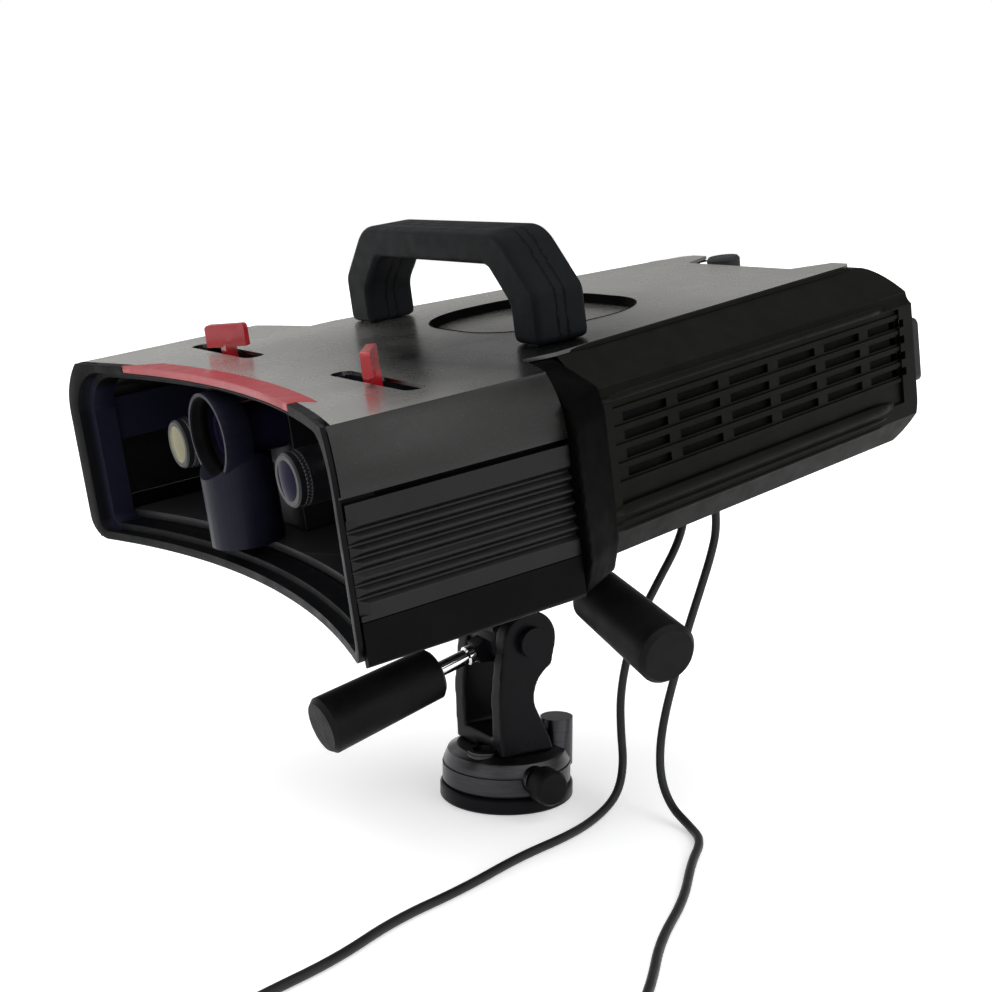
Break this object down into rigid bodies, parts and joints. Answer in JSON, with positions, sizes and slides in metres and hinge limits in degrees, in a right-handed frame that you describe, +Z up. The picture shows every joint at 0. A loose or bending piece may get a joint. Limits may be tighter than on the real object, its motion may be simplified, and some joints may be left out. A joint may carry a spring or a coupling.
{
  "type": "desktop 3d scanner",
  "caption": "Desktop 3-D scanner with a wide curved window over cameras and a projector, carry handle and lens levers, on a three-way tripod head with grips and coiled cords.",
  "frame": {"origin": "centre of the tripod head's round base, on its underside, at the mouth of the threaded socket", "axes": "+Z up along the pan axis, -Y towards the front window, +X towards the scanner's flank with the side grip"},
  "size_m": [0.5228, 0.5371, 0.3423],
  "materials": {
    "powder_dark": "fine sparkling powder coat",
    "rib_black": "satin moulded",
    "shell_black": "satin moulded",
    "plate_silver": "brushed",
    "trim_red": "gloss",
    "lever_red": "gloss",
    "rubber_black": "matte grained",
    "steel": "machined",
    "chrome": "polished",
    "casting_black": "black painted casting",
    "chassis_metal": "black anodised",
    "baffle_navy": "matte dark",
    "hood_grey": "satin blue-grey",
    "lens_glass": "coated glass",
    "camera_black": "satin",
    "board_green": "solder resist",
    "fan_black": "moulded",
    "cord_black": "smooth jacket"
  },
  "bodies": {
    "head_base": {"base_plate": "casting_black"},
    "pan_body": {"pan_housing": "casting_black", "index_ring": "chrome", "yoke_casting": "casting_black"},
    "pan_knob": {"pan_lock_knob": "rubber_black"},
    "tilt_body": {"tilt_block": "casting_black", "tilt_pin": "steel", "tilt_rod": "chrome"},
    "tilt_twist": {"tilt_grip": "rubber_black"},
    "scanner": {"platform": "casting_black", "side_rod": "casting_black", "mounting_plate": "chassis_metal", "chassis_plate": "chassis_metal", "front_bezel": "rib_black", "red_trim": "trim_red", "front_top_plate": "plate_silver", "collar_frame": "rib_black", "rear_top_plate": "plate_silver", "rear_panel": "shell_black", "rear_bumpers": "rubber_black", "handle_core": "steel", "handle_cover": "rubber_black", "handle_bolts": "steel", "optical_bench": "chassis_metal", "inner_baffle": "baffle_navy", "projector_shroud": "hood_grey", "projector_lens": "lens_glass", "projector_body": "camera_black", "lever_rails": "steel", "control_board": "board_green", "fan_frame": "fan_black", "cord_glands": "rubber_black", "data_cord": "cord_black", "data_coil": "cord_black", "data_plug": "cord_black", "power_cord": "cord_black", "power_coil": "cord_black", "power_plug": "cord_black", "right_shoulder_panel": "powder_dark", "right_rib_panel": "rib_black", "right_lower_panel": "rib_black", "right_rear_shell": "shell_black", "left_shoulder_panel": "powder_dark", "left_rib_panel": "rib_black", "left_lower_panel": "rib_black", "left_rear_shell": "shell_black"},
    "side_twist": {"side_grip": "rubber_black"},
    "fan": {"fan_rotor": "fan_black"},
    "button": {"power_button": "rubber_black"},
    "right_slider": {"right_lever": "lever_red"},
    "right_camera": {"right_camera_bracket": "camera_black", "right_camera_body": "camera_black", "right_lens_barrel": "camera_black"},
    "right_focus": {"right_focus_ring": "camera_black"},
    "left_slider": {"left_lever": "lever_red"},
    "left_camera": {"left_camera_bracket": "camera_black", "left_camera_body": "camera_black", "left_lens_barrel": "camera_black"},
    "left_focus": {"left_focus_ring": "camera_black"}
  },
  "joints": [
    {"name": "pan_turn", "type": "hinge", "parent": "head_base", "child": "pan_body", "pos_m": [0, 0, 0.02], "axis": [0, 0, 1], "continuous": true},
    {"name": "pan_lock", "type": "hinge", "parent": "pan_body", "child": "pan_knob", "pos_m": [0.045, -0.004, 0.02], "axis": [1, 0, 0], "range_deg": [-30, 360]},
    {"name": "tilt", "type": "hinge", "parent": "pan_body", "child": "tilt_body", "pos_m": [0, 0, 0.1], "axis": [1, 0, 0], "range_deg": [-30, 8]},
    {"name": "tilt_grip_twist", "type": "hinge", "parent": "tilt_body", "child": "tilt_twist", "pos_m": [0, -0.02412, 0.09028], "axis": [0, -0.9608, -0.2773], "range_deg": [-30, 270]},
    {"name": "side_tilt", "type": "hinge", "parent": "tilt_body", "child": "scanner", "pos_m": [0, -0.00538, 0.13559], "axis": [0, 0.9888, 0.1495], "range_deg": [-15, 15]},
    {"name": "side_grip_twist", "type": "hinge", "parent": "scanner", "child": "side_twist", "pos_m": [0.031, 0.00827, 0.15232], "axis": [0.9709, -0.0685, -0.2293], "range_deg": [-30, 270]},
    {"name": "fan_spin", "type": "hinge", "parent": "scanner", "child": "fan", "pos_m": [0, 0.19503, 0.2549], "axis": [0, 0.9888, 0.1495], "continuous": true},
    {"name": "power_press", "type": "slide", "parent": "scanner", "child": "button", "axis": [0, 0.1495, -0.9888], "range_m": [0, 0.0025], "stiffness_N_per_m": 800, "springref_m": -0.001},
    {"name": "right_lever_slide", "type": "slide", "parent": "scanner", "child": "right_slider", "axis": [1, 0, 0], "range_m": [-0.025, 0.025]},
    {"name": "right_camera_yaw", "type": "hinge", "parent": "scanner", "child": "right_camera", "pos_m": [0.072, -0.11979, 0.16987], "axis": [0, -0.1495, 0.9888], "range_deg": [-3, 3]},
    {"name": "right_focus_turn", "type": "hinge", "parent": "right_camera", "child": "right_focus", "pos_m": [0.072, -0.15966, 0.21947], "axis": [0, 0.9888, 0.1495], "range_deg": [-60, 60]},
    {"name": "left_lever_slide", "type": "slide", "parent": "scanner", "child": "left_slider", "axis": [1, 0, 0], "range_m": [-0.025, 0.025]},
    {"name": "left_camera_yaw", "type": "hinge", "parent": "scanner", "child": "left_camera", "pos_m": [-0.072, -0.11979, 0.16987], "axis": [0, -0.1495, 0.9888], "range_deg": [-3, 3]},
    {"name": "left_focus_turn", "type": "hinge", "parent": "left_camera", "child": "left_focus", "pos_m": [-0.072, -0.15966, 0.21947], "axis": [0, 0.9888, 0.1495], "range_deg": [-60, 60]}
  ],
  "couplings": [
    {"joint": "right_camera_yaw", "follows": "right_lever_slide", "rad_per_m": 2.09},
    {"joint": "left_camera_yaw", "follows": "left_lever_slide", "rad_per_m": 2.09}
  ]
}
